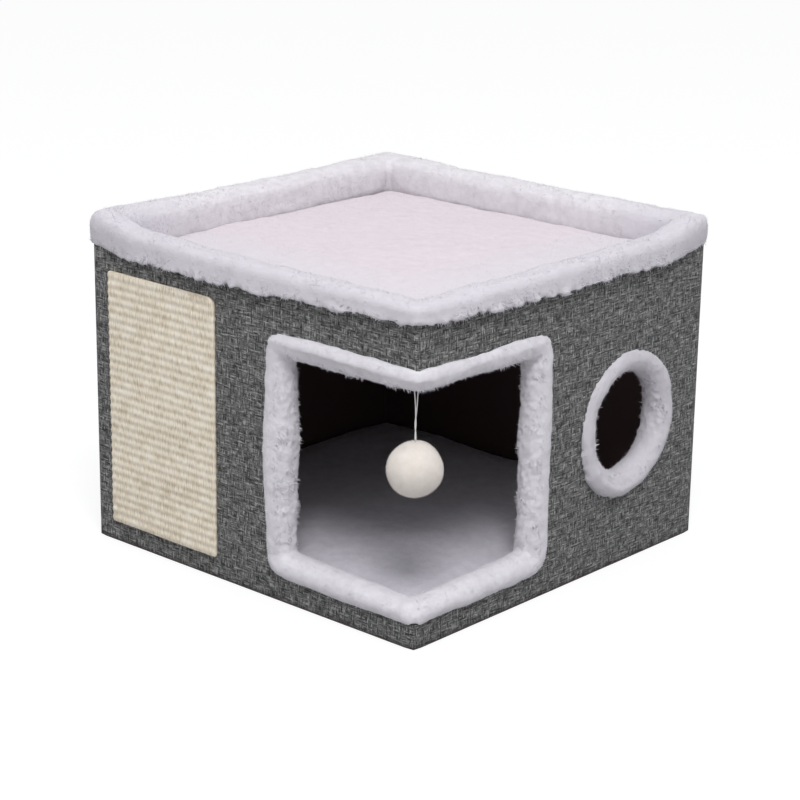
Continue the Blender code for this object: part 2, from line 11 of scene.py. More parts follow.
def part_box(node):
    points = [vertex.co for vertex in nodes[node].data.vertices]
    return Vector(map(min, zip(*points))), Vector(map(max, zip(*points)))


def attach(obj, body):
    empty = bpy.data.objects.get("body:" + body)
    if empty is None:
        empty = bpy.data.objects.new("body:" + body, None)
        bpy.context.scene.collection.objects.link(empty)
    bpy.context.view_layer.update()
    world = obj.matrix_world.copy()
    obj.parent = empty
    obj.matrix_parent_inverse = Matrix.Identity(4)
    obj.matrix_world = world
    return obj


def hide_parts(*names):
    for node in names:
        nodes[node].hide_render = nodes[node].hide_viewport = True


# Sizes in metres that the frame doesn't state
WALL = 0.018
CORNER_RADIUS = 0.004
CLOTH_THICKNESS = 0.0009
ENTRANCE_REACH = 0.1735
ENTRANCE_LOW = 0.0335
ENTRANCE_HIGH = 0.2485
OPENING_CORNER = 0.015
WINDOW_RING = 0.1245
HIDDEN_BY_ROLL = 0.0045
ROLL_GRIP = 0.0035
NEAR_WALL = 0.03
HAIR = 0.001
RIM_HANGS_OUT = 0.0028
RIM_HANGS_DOWN = 0.0052
RIM_END_DROP = 0.0035
SISAL_SEAT = 0.0003
SISAL_BODY = 0.0031
SISAL_RIB_HEIGHT = 0.0007
SISAL_ROUND_CORNER = 0.009
SISAL_SQUARE_CORNER = 0.001
STRING_THICKNESS = 0.0018

# Sizes of the cells that the soft pieces are rebuilt from
RIM_CELL = 0.0036
ENTRANCE_CELL = 0.0024
WINDOW_CELL = 0.0026

# Cushions: half width, edge height, crown, draw-in of the sides, cell, most stuffing and half room
BED = (0.1842, 0.2935, 0.0060, 0.0010, 0.0045, 0.002, 0.1842)
MAT = (0.1845, 0.0325, 0.0055, 0.0030, 0.0055, 0.003, 0.1850)

# Counts, shares and names
SISAL_RIBS = 31
RIM_END_TUCK = 0.55
STUFFING_PRESSURE = 3.0
WALL_NAMES = ("front", "right", "back", "left")

# Kinds of strand: number per square metre, length, radius, lift, size of their swirls, and parts
SHORT_PILE = (380000, 0.0017, 0.00013, 0.8, 0.011, 1)
CUSHION_PILE = (150000, 0.0016, 0.00012, 0.7, 0.016, 1)
TUFTS = (105000, 0.0041, 0.00055, 0.55, 0.009, 2)
WISPS = (65000, 0.0036, 0.00026, 0.25, 0.010, 2)
YARN_ENDS = (900000, 0.0012, 0.00012, 1.6, 0.006, 1)
STRAND_NUMBERS = (
    "Strands per square metre",
    "Strand length",
    "Strand radius",
    "Lift",
    "Swirl size",
)
STRAND_COUNTS = ("Parts", "Seed")

# Wool: the pale and the deep tone of each kind, and the tone of the plush near the front and right
# walls, which on the rims is painted shade
WHITE = ((0.775, 0.745, 0.785), (0.70, 0.67, 0.705))
# A lighter copy of the white plush for the entrance roll: painted light on its upright faces
LIT_WHITE = ((0.785, 0.760, 0.810), (0.71, 0.685, 0.73))
ROSY = ((0.715, 0.635, 0.68), (0.68, 0.60, 0.645))
GREY = ((0.60, 0.575, 0.64), (0.54, 0.515, 0.58))
CREAM = ((0.83, 0.77, 0.72), (0.77, 0.71, 0.65))
# Painted shade: the rims' darker tone near the front and right walls; on the bed cushion a less
# pink edge tone
SIDE_SHADE_AND_EDGE_TONE = (0.65, 0.622, 0.673)

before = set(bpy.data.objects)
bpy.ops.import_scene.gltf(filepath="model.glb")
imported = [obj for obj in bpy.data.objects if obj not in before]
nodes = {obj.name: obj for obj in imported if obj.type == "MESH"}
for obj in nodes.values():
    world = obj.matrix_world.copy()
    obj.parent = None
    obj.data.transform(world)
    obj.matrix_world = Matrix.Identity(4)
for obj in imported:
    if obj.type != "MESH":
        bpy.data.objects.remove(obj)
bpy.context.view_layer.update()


def middle_of(name):
    low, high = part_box(name)
    return Vector(low).lerp(Vector(high), 0.5)


# Sizes from the frame
HALF, _, WALL_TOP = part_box("linen_cover")[1]
(SISAL_LEFT, _, SISAL_BASE), (SISAL_RIGHT, _, SISAL_TOP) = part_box("sisal_panel")
_, WINDOW_Y, WINDOW_Z = middle_of("window_trim")
TOY_PIVOT = middle_of("toy_knot")
STRING_TOP = TOY_PIVOT.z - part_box("toy_string")[1][2]
STRING_END = TOY_PIVOT.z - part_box("toy_string")[0][2]
POMPOM_DROP = TOY_PIVOT.z - middle_of("pompom").z
POMPOM_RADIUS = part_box("pompom")[1][2] - middle_of("pompom").z


# Small helpers


def rise(value, start, length):
    """0 up to the start, then rising to 1 over the length; a length below 0 runs downward."""
    return np.clip((value - start) / length, 0, 1)


def near(value, centre, width):
    """1 at the centre, fading smoothly to 0 on both sides."""
    return np.exp(-(((value - centre) / width) ** 2))


def show(name, data):
    """Adds a mesh, a lamp or a camera to the scene as an object at the origin."""
    obj = bpy.data.objects.new(name, data)
    bpy.context.scene.collection.objects.link(obj)
    return obj


def show_bmesh(name, bm):
    mesh = bpy.data.meshes.new(name)
    bm.to_mesh(mesh)
    bm.free()
    return show(name, mesh)


class Nodes:
    """A node tree with short ways to add nodes and to feed their sockets."""

    def __init__(self, tree):
        self.tree = tree

    def add(self, kind, **settings):
        node = self.tree.nodes.new(kind)
        for name, value in settings.items():
            setattr(node, name, value)
        return node

    def link(self, source, target):
        self.tree.links.new(source, target)

    def feed(self, sockets, sources):
        """Sets each socket to its plain value, or links it to another node's socket."""
        for socket, source in zip(sockets, sources):
            if isinstance(source, (int, float, tuple)):
                socket.default_value = source
            else:
                self.link(source, socket)

    def maths(self, operation, *sources, clamp=False):
        node = self.add("ShaderNodeMath", operation=operation, use_clamp=clamp)
        self.feed(node.inputs, sources)
        return node.outputs[0]

    def vector_maths(self, operation, *sources):
        node = self.add("ShaderNodeVectorMath", operation=operation)
        self.feed(node.inputs, sources)
        return node.outputs[0]

    def split(self, vector):
        """The X, Y and Z of a vector."""
        node = self.add("ShaderNodeSeparateXYZ")
        self.link(vector, node.inputs[0])
        return node.outputs

    def random_number(self, low, high, seed):
        """A number between low and high for each point; plain numbers use sockets 2 and 3."""
        node = self.add("FunctionNodeRandomValue", data_type="FLOAT")
        node.inputs[2].default_value = low
        node.inputs[3].default_value = high
        self.link(seed, node.inputs["Seed"])
        return node.outputs[1]


# Camera, light and floor


def camera_from_photo():
    """The photograph's camera: a long lens, a little above the cave, facing its entrance corner."""
    azimuth = math.radians(41.7952)
    elevation = math.radians(17.6448)
    roll = math.radians(0.8466)
    distance = 2.3332
    aim = Vector((0, 0, 0.16))
    aim_right, aim_up = 0.001, -0.0202
    away = Vector(
        (
            math.sin(azimuth) * math.cos(elevation),
            -math.cos(azimuth) * math.cos(elevation),
            math.sin(elevation),
        )
    )
    level = Vector((math.cos(azimuth), math.sin(azimuth), 0))
    upright = away.cross(level)
    right = math.cos(roll) * level + math.sin(roll) * upright
    up = math.cos(roll) * upright - math.sin(roll) * level
    target = aim + aim_right * right + aim_up * up
    data = bpy.data.cameras.new("camera")
    data.sensor_width = 36
    data.lens = 106.616
    data.clip_end = 20
    camera = show("camera", data)
    placed = Matrix((right, up, away)).transposed().to_4x4()
    placed.translation = target + distance * away
    camera.matrix_world = placed
    bpy.context.scene.camera = camera


def soft_box(name, place, size, power):
    """A square area lamp that faces the cave."""
    place = Vector(place)
    data = bpy.data.lights.new(name, "AREA")
    data.size = size
    data.energy = power
    lamp = show(name, data)
    lamp.location = place
    lamp.rotation_euler = (Vector((0, 0, 0.15)) - place).to_track_quat("-Z", "Y").to_euler()


def white_world():
    """White to the camera; as a light, dim at the horizon and brighter overhead."""
    world = bpy.data.worlds.new("studio")
    world.use_nodes = True
    world.node_tree.nodes.clear()
    tree = Nodes(world.node_tree)
    shown = tree.add("ShaderNodeBackground")
    shown.inputs["Color"].default_value = (1, 1, 1, 1)
    fill = tree.add("ShaderNodeBackground")
    fill.inputs["Color"].default_value = (0.97, 0.98, 1, 1)
    height = tree.add("ShaderNodeMapRange")
    height.inputs["From Min"].default_value = 0.0
    height.inputs["From Max"].default_value = 0.8
    height.inputs["To Min"].default_value = 0.30
    height.inputs["To Max"].default_value = 0.85
    way = tree.add("ShaderNodeTexCoord").outputs["Generated"]
    tree.link(tree.split(way)["Z"], height.inputs["Value"])
    tree.link(height.outputs["Result"], fill.inputs["Strength"])
    to_camera(tree, shown, fill, "ShaderNodeOutputWorld")
    bpy.context.scene.world = world


def to_camera(tree, shown, other, output):
    """Ends a tree with one shader for what the camera sees and another for all other light."""
    mix = tree.add("ShaderNodeMixShader")
    rays = tree.add("ShaderNodeLightPath")
    tree.feed(mix.inputs, (rays.outputs["Is Camera Ray"], other.outputs[0], shown.outputs[0]))
    tree.link(mix.outputs[0], tree.add(output).inputs[0])


def white_floor():
    """A floor that glows almost white to the camera, so that only a faint shadow shows on it."""
    bm = bmesh.new()
    bmesh.ops.create_grid(bm, x_segments=1, y_segments=1, size=6)
    floor = show_bmesh("floor", bm)
    floor.location.z = -0.0004
    material = bpy.data.materials.new("floor_white")
    material.use_nodes = True
    material.node_tree.nodes.clear()
    tree = Nodes(material.node_tree)
    paint = tree.add("ShaderNodeBsdfDiffuse")
    paint.inputs["Color"].default_value = (0.5, 0.5, 0.5, 1)
    shadow = tree.add("ShaderNodeBsdfDiffuse")
    shadow.inputs["Color"].default_value = (0.30, 0.30, 0.30, 1)
    glow = tree.add("ShaderNodeEmission")
    glow.inputs["Strength"].default_value = 0.74
    white = tree.add("ShaderNodeAddShader")
    tree.feed(white.inputs, (shadow.outputs[0], glow.outputs[0]))
    to_camera(tree, white, paint, "ShaderNodeOutputMaterial")
    floor.data.materials.append(material)


def studio():
    """A pale floor, a white surrounding and soft lamps."""
    bpy.context.scene.view_settings.view_transform = "Standard"
    white_world()
    soft_box("key_lamp", (1.36, -1.36, 2.70), 1.0, 47.5)
    soft_box("top_lamp", (0.4, 0.3, 2.6), 2.0, 4)
    white_floor()


# Materials


class Finish(Nodes):
    """A material under construction, with its shader and the place of the point it colours."""

    def __init__(self, name, roughness, sheen=0.0):
        self.material = bpy.data.materials.new(name)
        self.material.use_nodes = True
        super().__init__(self.material.node_tree)
        self.shader = self.tree.nodes["Principled BSDF"]
        self.shader.inputs["Roughness"].default_value = roughness
        self.shader.inputs["Specular IOR Level"].default_value = 0.2
        self.shader.inputs["Sheen Weight"].default_value = sheen
        self.shader.inputs["Sheen Roughness"].default_value = 0.6
        self.place = self.add("ShaderNodeTexCoord").outputs["Object"]

    def along(self, u_scale, z_scale):
        """A vector round the walls and up them, with another part for the back and left walls."""
        x, y, z = self.split(self.place)
        behind = self.maths("LESS_THAN", x, y)
        around = self.maths("ADD", x, y)
        around = self.maths("ADD", around, self.maths("MULTIPLY", behind, 4 * HALF))
        join = self.add("ShaderNodeCombineXYZ")
        self.link(self.maths("MULTIPLY", around, u_scale), join.inputs[0])
        self.link(self.maths("MULTIPLY", z, z_scale), join.inputs[1])
        return join.outputs[0]

    def noise(self, vector, scale, detail, roughness):
        node = self.add("ShaderNodeTexNoise")
        node.inputs["Scale"].default_value = scale
        node.inputs["Detail"].default_value = detail
        node.inputs["Roughness"].default_value = roughness
        self.link(vector, node.inputs["Vector"])
        return node.outputs["Fac"]

    def ramp(self, value, stops):
        """A colour that goes from stop to stop as the value rises."""
        node = self.add("ShaderNodeValToRGB")
        ramp = node.color_ramp
        while len(ramp.elements) < len(stops):
            ramp.elements.new(0.5)
        for element, (place, colour) in zip(ramp.elements, stops):
            element.position = place
            element.color = (*colour, 1)
        self.link(value, node.inputs[0])
        return node.outputs["Color"]

    def shade_and_tone_toward_sides(self, source, side_shade_and_tone):
        """Turns the colour to another one near the front and right walls: on the rims painted
        shade, darker there than at the back and left; on the bed cushion a less pink edge tone.
        """
        x, y, _ = self.split(self.place)
        reach = self.maths("MAXIMUM", x, self.maths("MULTIPLY", y, -1))
        share = self.maths("MULTIPLY", self.maths("SUBTRACT", reach, 0.08), 10, clamp=True)
        mix = self.add("ShaderNodeMix", data_type="RGBA", blend_type="MIX")
        self.feed((mix.inputs[0], mix.inputs[6], mix.inputs[7]), (share, source, (*side_shade_and_tone, 1)))
        return mix.outputs[2]

    def colour(self, source):
        self.link(source, self.shader.inputs["Base Color"])

    def two_tones(self, value, deep, pale):
        self.colour(self.ramp(value, ((0.35, deep), (0.65, pale))))

    def bump(self, height, distance, strength):
        node = self.add("ShaderNodeBump")
        node.inputs["Strength"].default_value = strength
        node.inputs["Distance"].default_value = distance
        self.link(height, node.inputs["Height"])
        self.link(node.outputs[0], self.shader.inputs["Normal"])


def plush_finish(name, pale, deep, side_shade_and_tone=None):
    """Short fleece: faintly mottled by its clumps, with fine curls."""
    finish = Finish(name, 0.95, 0.3)
    clumps = finish.noise(finish.place, 110, 3, 0.6)
    colour = finish.ramp(clumps, ((0.34, deep), (0.62, pale)))
    # Near the front and right walls the colour may turn to the side tone, which on the rims is
    # painted shade
    finish.colour(finish.shade_and_tone_toward_sides(colour, side_shade_and_tone) if side_shade_and_tone else colour)
    finish.bump(finish.noise(finish.place, 420, 4, 0.7), 0.0010, 0.5)
    return finish.material


def pile_finish(name, pale, deep, side_shade_and_tone=None):
    """The fleece's own strands, each a little lighter or darker."""
    finish = Finish(name, 0.95, 0.3)
    tone = finish.add("ShaderNodeAttribute", attribute_name="tone")
    clumps = finish.noise(finish.place, 110, 3, 0.6)
    strand = finish.maths("MULTIPLY", tone.outputs["Fac"], 0.35)
    both = finish.maths("ADD", strand, finish.maths("MULTIPLY", clumps, 0.65))
    colour = finish.ramp(both, ((0.3, deep), (0.6, pale)))
    # Near the front and right walls the colour may turn to the side tone, which on the rims is
    # painted shade
    finish.colour(finish.shade_and_tone_toward_sides(colour, side_shade_and_tone) if side_shade_and_tone else colour)
    return finish.material


def linen_finish():
    """Heather linen: uneven pale and dark threads, here the warp on top and there the weft."""
    finish = Finish("heather_linen", 0.92, 0.08)
    upright = finish.noise(finish.along(600, 95), 1, 3, 0.7)
    level = finish.noise(finish.along(65, 600), 1, 3, 0.7)
    over = finish.noise(finish.along(210, 260), 1, 2, 0.6)
    on_top = finish.maths("MULTIPLY", finish.maths("SUBTRACT", over, 0.40), 5, clamp=True)
    step = finish.maths("MULTIPLY", finish.maths("SUBTRACT", level, upright), on_top)
    woven = finish.maths("ADD", upright, step)
    slubs = finish.noise(finish.along(120, 120), 1, 3, 0.7)
    slubs = finish.maths("MULTIPLY", slubs, 0.15)
    threads = finish.maths("ADD", finish.maths("MULTIPLY", woven, 0.85), slubs)
    tones = ((0.38, 0.015), (0.45, 0.058), (0.50, 0.120), (0.55, 0.215), (0.62, 0.41))
    stops = [(place, (tone, tone, tone * 0.985)) for place, tone in tones]
    finish.colour(finish.ramp(threads, stops))
    finish.bump(threads, 0.0008, 0.6)
    return finish.material


def lining_finish():
    """Thin black lining cloth with a fine weave."""
    finish = Finish("black_lining", 0.85)
    weave = finish.noise(finish.along(1500, 1500), 1, 1, 0.5)
    finish.two_tones(weave, (0.070, 0.045, 0.045), (0.110, 0.072, 0.072))
    finish.bump(weave, 0.0003, 0.5)
    return finish.material


def sisal_finish():
    """Cream sisal: upright streaks of fibre, and patches of lighter and darker yarn."""
    finish = Finish("woven_sisal", 0.85)
    fibres = finish.noise(finish.along(640, 120), 1, 3, 0.65)
    patches = finish.noise(finish.place, 60, 2, 0.5)
    patches = finish.maths("MULTIPLY", patches, 0.3)
    shade = finish.maths("ADD", finish.maths("MULTIPLY", fibres, 0.7), patches)
    stops = ((0.36, (0.69, 0.59, 0.45)), (0.5, (0.90, 0.805, 0.66)), (0.62, (0.98, 0.93, 0.82)))
    finish.colour(finish.ramp(shade, stops))
    finish.bump(fibres, 0.0006, 0.7)
    return finish.material


def fibreboard_finish():
    """Bare brown board with short pressed fibres."""
    finish = Finish("bare_fibreboard", 0.75)
    fibres = finish.noise(finish.place, 900, 4, 0.7)
    finish.two_tones(fibres, (0.22, 0.13, 0.06), (0.42, 0.28, 0.15))
    finish.bump(fibres, 0.0002, 0.5)
    return finish.material


def foam_finish():
    """Open-cell foam: pale, pitted."""
    finish = Finish("pale_foam", 0.95)
    cells = finish.noise(finish.place, 1200, 2, 0.6)
    finish.two_tones(cells, (0.62, 0.60, 0.50), (0.84, 0.82, 0.74))
    finish.bump(cells, 0.0006, 0.8)
    return finish.material


def string_finish():
    """Cotton string, pale, with its strands' shade."""
    finish = Finish("cotton_string", 0.9, 0.2)
    strands = finish.noise(finish.place, 1600, 2, 0.6)
    finish.two_tones(strands, (0.66, 0.65, 0.64), (0.86, 0.85, 0.83))
    finish.bump(strands, 0.0003, 0.5)
    return finish.material


# Meshes


def add_mesh(name, points, faces):
    """A mesh object at the origin."""
    mesh = bpy.data.meshes.new(name)
    mesh.from_pydata([tuple(point) for point in points], [], faces)
    mesh.validate()
    bm = bmesh.new()
    bm.from_mesh(mesh)
    bmesh.ops.recalc_face_normals(bm, faces=bm.faces[:])
    bm.to_mesh(mesh)
    bm.free()
    mesh.shade_smooth()
    return show(name, mesh)


def solid_copy(name, *cad_names):
    """One object from copies of these nodes, with their loose triangles joined."""
    bm = bmesh.new()
    for cad_name in cad_names:
        bm.from_mesh(nodes[cad_name].data)
    bmesh.ops.remove_doubles(bm, verts=bm.verts[:], dist=0.00002)
    return show_bmesh(name, bm)


def settle(obj):
    """Turns the object's modifiers into plain mesh."""
    graph = bpy.context.evaluated_depsgraph_get()
    mesh = bpy.data.meshes.new_from_object(obj.evaluated_get(graph))
    obj.modifiers.clear()
    old = obj.data
    obj.data = mesh
    bpy.data.meshes.remove(old)
    obj.data.name = obj.name


def even_mesh(obj, cell):
    """Rebuilds the surface from even cells."""
    remesh = obj.modifiers.new("Even", "REMESH")
    remesh.mode = "VOXEL"
    remesh.voxel_size = cell
    settle(obj)
    return obj


def finer(obj):
    """Splits each face of the surface into four, smoothly."""
    subdivision = obj.modifiers.new("Finer", "SUBSURF")
    subdivision.levels = 1
    subdivision.render_levels = 1
    settle(obj)


def points_of(obj):
    points = np.empty(len(obj.data.vertices) * 3)
    obj.data.vertices.foreach_get("co", points)
    return points.reshape(-1, 3)


def normals_of(obj):
    normals = np.empty(len(obj.data.vertices) * 3)
    obj.data.vertices.foreach_get("normal", normals)
    return normals.reshape(-1, 3)


def set_points(obj, points):
    obj.data.vertices.foreach_set("co", np.asarray(points).ravel())
    obj.data.update()


def puff(obj, most):
    """Blows a padded shape up as stuffing does, by this much at most and never inward."""
    before = points_of(obj)
    outward = normals_of(obj)
    cloth = obj.modifiers.new("Stuffing", "CLOTH")
    cloth.settings.quality = 4
    cloth.settings.mass = 0.2
    cloth.settings.use_pressure = True
    cloth.settings.uniform_pressure_force = STUFFING_PRESSURE
    cloth.settings.effector_weights.gravity = 0
    cloth.collision_settings.use_collision = False
    scene = bpy.context.scene
    for step in range(1, 21):
        scene.frame_set(step)
    settle(obj)
    scene.frame_set(1)
    moved = points_of(obj) - before
    inward = np.minimum(0, np.sum(moved * outward, axis=1, keepdims=True))
    moved -= inward * outward
    length = np.linalg.norm(moved, axis=1, keepdims=True)
    moved *= np.minimum(1, most / np.maximum(length, 1e-9))
    set_points(obj, before + moved)


def swell(obj, amount):
    """Moves each point out along its normal."""
    set_points(obj, points_of(obj) + normals_of(obj) * amount[:, None])


def noise_over(obj, size, offset):
    """Smooth noise at each of the object's points."""
    return np.array([noise.noise(Vector(point) / size + offset) for point in points_of(obj)])


def lumps(obj, size, height, seed):
    """Moves the surface in and out by smooth noise, by one height or by one for each point."""
    offset = Vector((seed * 3.7, seed * 1.3, seed * 2.1))
    swell(obj, noise_over(obj, size, offset) * height)


def set_weight(obj, values):
    """Stores how thickly the pile grows at each point."""
    attribute = obj.data.attributes.get("pile") or obj.data.attributes.new("pile", "FLOAT", "POINT")
    attribute.data.foreach_set("value", np.asarray(values, dtype=np.float32))


def wear(obj, material):
    """Gives the object this one material."""
    obj.data.materials.clear()
    obj.data.materials.append(material)
    obj.data.shade_smooth()


# Pile


def strand_roots(tree, given):
    """Points spread over the surface, more of them where its pile weight is higher."""
    weight = tree.add("GeometryNodeInputNamedAttribute", data_type="FLOAT")
    weight.inputs["Name"].default_value = "pile"
    scatter = tree.add("GeometryNodeDistributePointsOnFaces")
    density = tree.maths("MULTIPLY", given["Strands per square metre"], weight.outputs[0])
    tree.link(given["Geometry"], scatter.inputs["Mesh"])
    tree.link(density, scatter.inputs["Density"])
    tree.link(given["Seed"], scatter.inputs["Seed"])
    return scatter.outputs


def strand_aim(tree, given, normal):
    """How each strand leans: with a slow swirl, a little astray, and lifted off the surface."""
    swirl = tree.add("ShaderNodeTexNoise")
    swirl.inputs["Detail"].default_value = 1.0
    tree.link(tree.maths("DIVIDE", 1.0, given["Swirl size"]), swirl.inputs["Scale"])
    stray = tree.add("FunctionNodeRandomValue", data_type="FLOAT_VECTOR")
    tree.feed(stray.inputs, ((-0.3, -0.3, -0.3), (0.3, 0.3, 0.3)))
    tree.link(given["Seed"], stray.inputs["Seed"])
    centred = tree.vector_maths("SUBTRACT", swirl.outputs["Color"], (0.5, 0.5, 0.5))
    laid = tree.vector_maths("MULTIPLY_ADD", centred, (3.2, 3.2, 3.2), stray.outputs[0])
    lifted = tree.vector_maths("MULTIPLY", normal, given["Lift"])
    aim = tree.add("FunctionNodeAlignRotationToVector", axis="Z")
    tree.link(tree.vector_maths("ADD", laid, lifted), aim.inputs["Vector"])
    return aim.outputs[0]


def strand_shape(tree, given):
    """One strand: a thin cone that curls toward its tip, with its foot below the surface."""
    length = given["Strand length"]
    strand = tree.add("GeometryNodeMeshCone", fill_type="NGON")
    strand.inputs["Vertices"].default_value = 3
    strand.inputs["Radius Top"].default_value = 0.0
    tree.link(given["Strand radius"], strand.inputs["Radius Bottom"])
    tree.link(length, strand.inputs["Depth"])
    tree.link(given["Parts"], strand.inputs["Side Segments"])
    height = tree.split(tree.add("GeometryNodeInputPosition").outputs[0])["Z"]
    squared = tree.maths("POWER", height, 2.0)
    curl = tree.maths("MULTIPLY", tree.maths("DIVIDE", squared, length), 0.4)
    shift = tree.add("ShaderNodeCombineXYZ")
    tree.link(curl, shift.inputs["X"])
    tree.link(tree.maths("MULTIPLY", length, -0.15), shift.inputs["Z"])
    bend = tree.add("GeometryNodeSetPosition")
    tree.link(strand.outputs["Mesh"], bend.inputs["Geometry"])
    tree.link(shift.outputs[0], bend.inputs["Offset"])
    return bend.outputs[0]


def pile_tree(material):
    """Geometry nodes that plant fine strands on a surface, laid over by a slow swirl."""
    group = bpy.data.node_groups.new("plush_pile", "GeometryNodeTree")
    new_socket = group.interface.new_socket
    new_socket("Geometry", in_out="INPUT", socket_type="NodeSocketGeometry")
    identifiers = []
    for name in STRAND_NUMBERS + STRAND_COUNTS:
        kind = "NodeSocketInt" if name in STRAND_COUNTS else "NodeSocketFloat"
        identifiers.append(new_socket(name, in_out="INPUT", socket_type=kind).identifier)
    new_socket("Geometry", in_out="OUTPUT", socket_type="NodeSocketGeometry")

    tree = Nodes(group)
    given = tree.add("NodeGroupInput").outputs
    roots = strand_roots(tree, given)
    mark = tree.add("GeometryNodeStoreNamedAttribute", data_type="FLOAT", domain="POINT")
    mark.inputs["Name"].default_value = "tone"
    tone = tree.random_number(0.0, 1.0, tree.maths("ADD", given["Seed"], 13))
    tree.link(roots["Points"], mark.inputs["Geometry"])
    tree.link(tone, mark.inputs["Value"])
    plant = tree.add("GeometryNodeInstanceOnPoints")
    tree.link(mark.outputs[0], plant.inputs["Points"])
    tree.link(strand_shape(tree, given), plant.inputs["Instance"])
    tree.link(strand_aim(tree, given, roots["Normal"]), plant.inputs["Rotation"])
    size = tree.random_number(0.6, 1.3, tree.maths("ADD", given["Seed"], 7))
    tree.link(size, plant.inputs["Scale"])
    real = tree.add("GeometryNodeRealizeInstances")
    tree.link(plant.outputs[0], real.inputs[0])
    dress = tree.add("GeometryNodeSetMaterial")
    dress.inputs["Material"].default_value = material
    tree.link(real.outputs[0], dress.inputs["Geometry"])
    tree.link(dress.outputs[0], tree.add("NodeGroupOutput").inputs[0])
    return group, identifiers


def make_wool(cloth_name, strands_name, tones, side_shade_and_tone=None):
    """Plush of these tones: its cloth, and the nodes that grow its pile."""
    cloth = plush_finish(cloth_name, *tones, side_shade_and_tone)
    return cloth, pile_tree(pile_finish(strands_name, *tones, side_shade_and_tone))


def grow_pile(name, base, pile, strands, seed):
    """A separate piece of strands that grow on the base."""
    group, identifiers = pile
    obj = show(name, base.data.copy())
    modifier = obj.modifiers.new("Pile", "NODES")
    modifier.node_group = group
    *numbers, parts = strands
    for identifier, value in zip(identifiers, numbers):
        modifier[identifier] = float(value)
    modifier[identifiers[-2]] = parts
    modifier[identifiers[-1]] = seed
    settle(obj)
    obj.data.shade_smooth()
    return obj


def patchy(obj, zone, size, seed):
    """Lets strands grow only in patches of this zone of the surface."""
    offset = Vector((seed * 2.9, seed * 1.7, seed * 4.3))
    set_weight(obj, np.clip(noise_over(obj, size, offset) * 3 + 0.3, 0, 1) * zone)


def belongs(obj, body, slot, *replaced):
    """Ties a piece to its body and hides the CAD nodes that it stands for; the slot is not used."""
    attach(obj, body)
    if replaced:
        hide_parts(*replaced)


def grow_strays(name, base, pile, shown, ragged, seed):
    """Thick tufts along a ragged edge and thin wisps all over, both in patches."""
    patchy(base, ragged, 0.012, seed)
    belongs(grow_pile(name + "_tufts", base, pile, TUFTS, seed + 1), "cave", "plush")
    patchy(base, shown, 0.020, seed + 2)
    belongs(grow_pile(name + "_wisps", base, pile, WISPS, seed + 3), "cave", "plush")


# Pieces


def hang_rims(rim):
    """Lets the rims hang out and down over the front and right walls, with rounded far ends."""
    points = points_of(rim)
    x, y, z = points.T
    reach = np.max(np.abs(points[:, :2]), axis=1)
    outside = reach > HALF + HAIR
    forward = rise(x - y, 0.03, 0.06)

    level = normals_of(rim) * (1, 1, 0)
    level /= np.maximum(np.linalg.norm(level, axis=1, keepdims=True), 0.3)
    out = RIM_HANGS_OUT * outside * forward * rise(z, WALL_TOP + 0.002, -0.008)
    moved = points + level * out[:, None]

    ends = rise(np.abs(x + y), 0.37, 0.05)
    low = rise(z, WALL_TOP + 0.020, -0.022)
    past = np.clip(np.abs(moved[:, :2]) - HALF, 0, None)
    moved[:, :2] -= np.sign(moved[:, :2]) * past * (RIM_END_TUCK * ends * low)[:, None]
    rounding = rise(reach, HALF - 0.004, 0.012) ** 2 * (1 - low)
    moved[:, 2] -= RIM_END_DROP * ends * (x + y < 0) * rounding

    from_corner = HALF - np.minimum(x, -y)
    lower = rise(from_corner, 0.05, 0.13) * rise(from_corner, 2 * HALF, -0.04)
    lower *= (np.maximum(x, -y) > HALF + HAIR) * rise(z, WALL_TOP + 0.008, -0.012)
    moved[:, 2] -= RIM_HANGS_DOWN * lower
    set_points(rim, moved)

    skirt = outside * (0.4 + 0.6 * forward) * rise(z, WALL_TOP - 0.001, -0.005)
    lumps(rim, 0.0105, 0.0035 * skirt, 3)
    lumps(rim, 0.0055, 0.0003 + 0.0017 * skirt, 4)


def make_rims(wool):
    """The four plush rims as one sewn, stuffed ring, with the pile of each wall's part."""
    rim_names = [wall + "_rim" for wall in WALL_NAMES]
    rim = even_mesh(solid_copy("plush_rim", *rim_names), RIM_CELL)
    puff(rim, 0.002)
    lumps(rim, 0.040, 0.0015, 1)
    finer(rim)
    lumps(rim, 0.012, 0.0006, 2)
    points = points_of(rim)
    hang_rims(rim)
    cloth, pile = wool
    wear(rim, cloth)
    belongs(rim, "cave", "plush", *rim_names)

    x, y, z = points.T
    reach = np.max(np.abs(points[:, :2]), axis=1)
    outside = reach > HALF + HAIR
    shown = ~((reach > HALF - WALL - HAIR) & ~outside & (z < WALL_TOP + 0.002))
    for name, ahead, aside in zip(rim_names, (-y, x, y, -x), (x, y, x, y)):
        set_weight(rim, (ahead >= np.abs(aside)) & shown)
        belongs(grow_pile(name + "_pile", rim, pile, SHORT_PILE, 5), "cave", "plush")
    grow_strays("rim", rim, pile, shown, outside & (z < WALL_TOP), 6)


def cushion_block(name, half, low, edge, crown, draw_in):
    """A square cushion: flat below, crowned above, with sides that pull in between its corners."""
    cells = 24
    points = []
    for level in range(2):
        for j in range(cells + 1):
            for i in range(cells + 1):
                u = math.sin(math.pi / 2 * (2 * i / cells - 1))
                v = math.sin(math.pi / 2 * (2 * j / cells - 1))
                x = half * u * (1 - draw_in / half * (1 - v * v) * abs(u))
                y = half * v * (1 - draw_in / half * (1 - u * u) * abs(v))
                dome = ((1 - abs(u) ** 3) * (1 - abs(v) ** 3)) ** 0.6
                points.append((x, y, edge + crown * dome if level else low))
    return add_mesh(name, points, box_faces(cells, cells))


